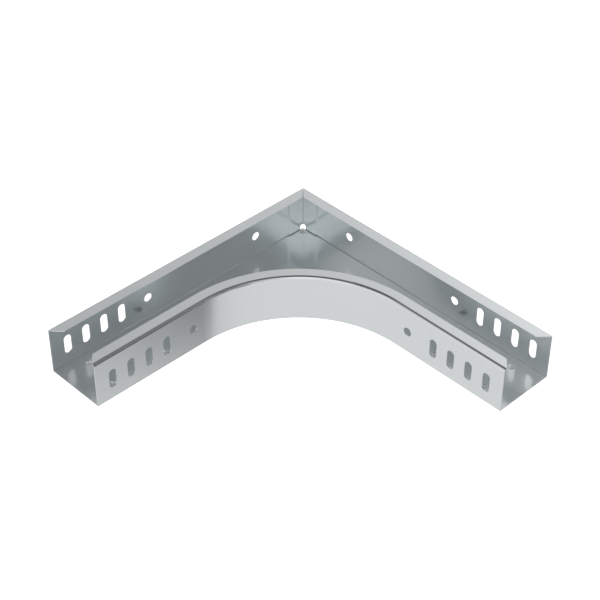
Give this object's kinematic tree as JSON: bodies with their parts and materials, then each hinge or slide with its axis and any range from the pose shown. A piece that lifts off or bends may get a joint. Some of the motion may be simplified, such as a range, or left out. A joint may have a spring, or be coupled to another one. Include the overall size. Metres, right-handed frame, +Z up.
{
  "type": "cable tray bend",
  "caption": "Level right-angle cable tray bend in galvanised sheet steel, with a square outer corner, a curved inner side wall, inward top flanges and slotted ends.",
  "frame": {"origin": "the middle of the square that the bend fills in plan, on the floor's underside", "axes": "+Z up out of the open side of the tray; one leg's open end faces +X and the other's faces -Y; the outer corner is at -X, +Y"},
  "size_m": [0.387, 0.387, 0.06],
  "materials": {
    "galvanised_steel": "strip-galvanised steel, smooth and semi-gloss"
  },
  "bodies": {
    "root": {"tray_sheet": "galvanised_steel", "inner_rail": "galvanised_steel", "corner_angle": "galvanised_steel"}
  },
  "joints": []
}
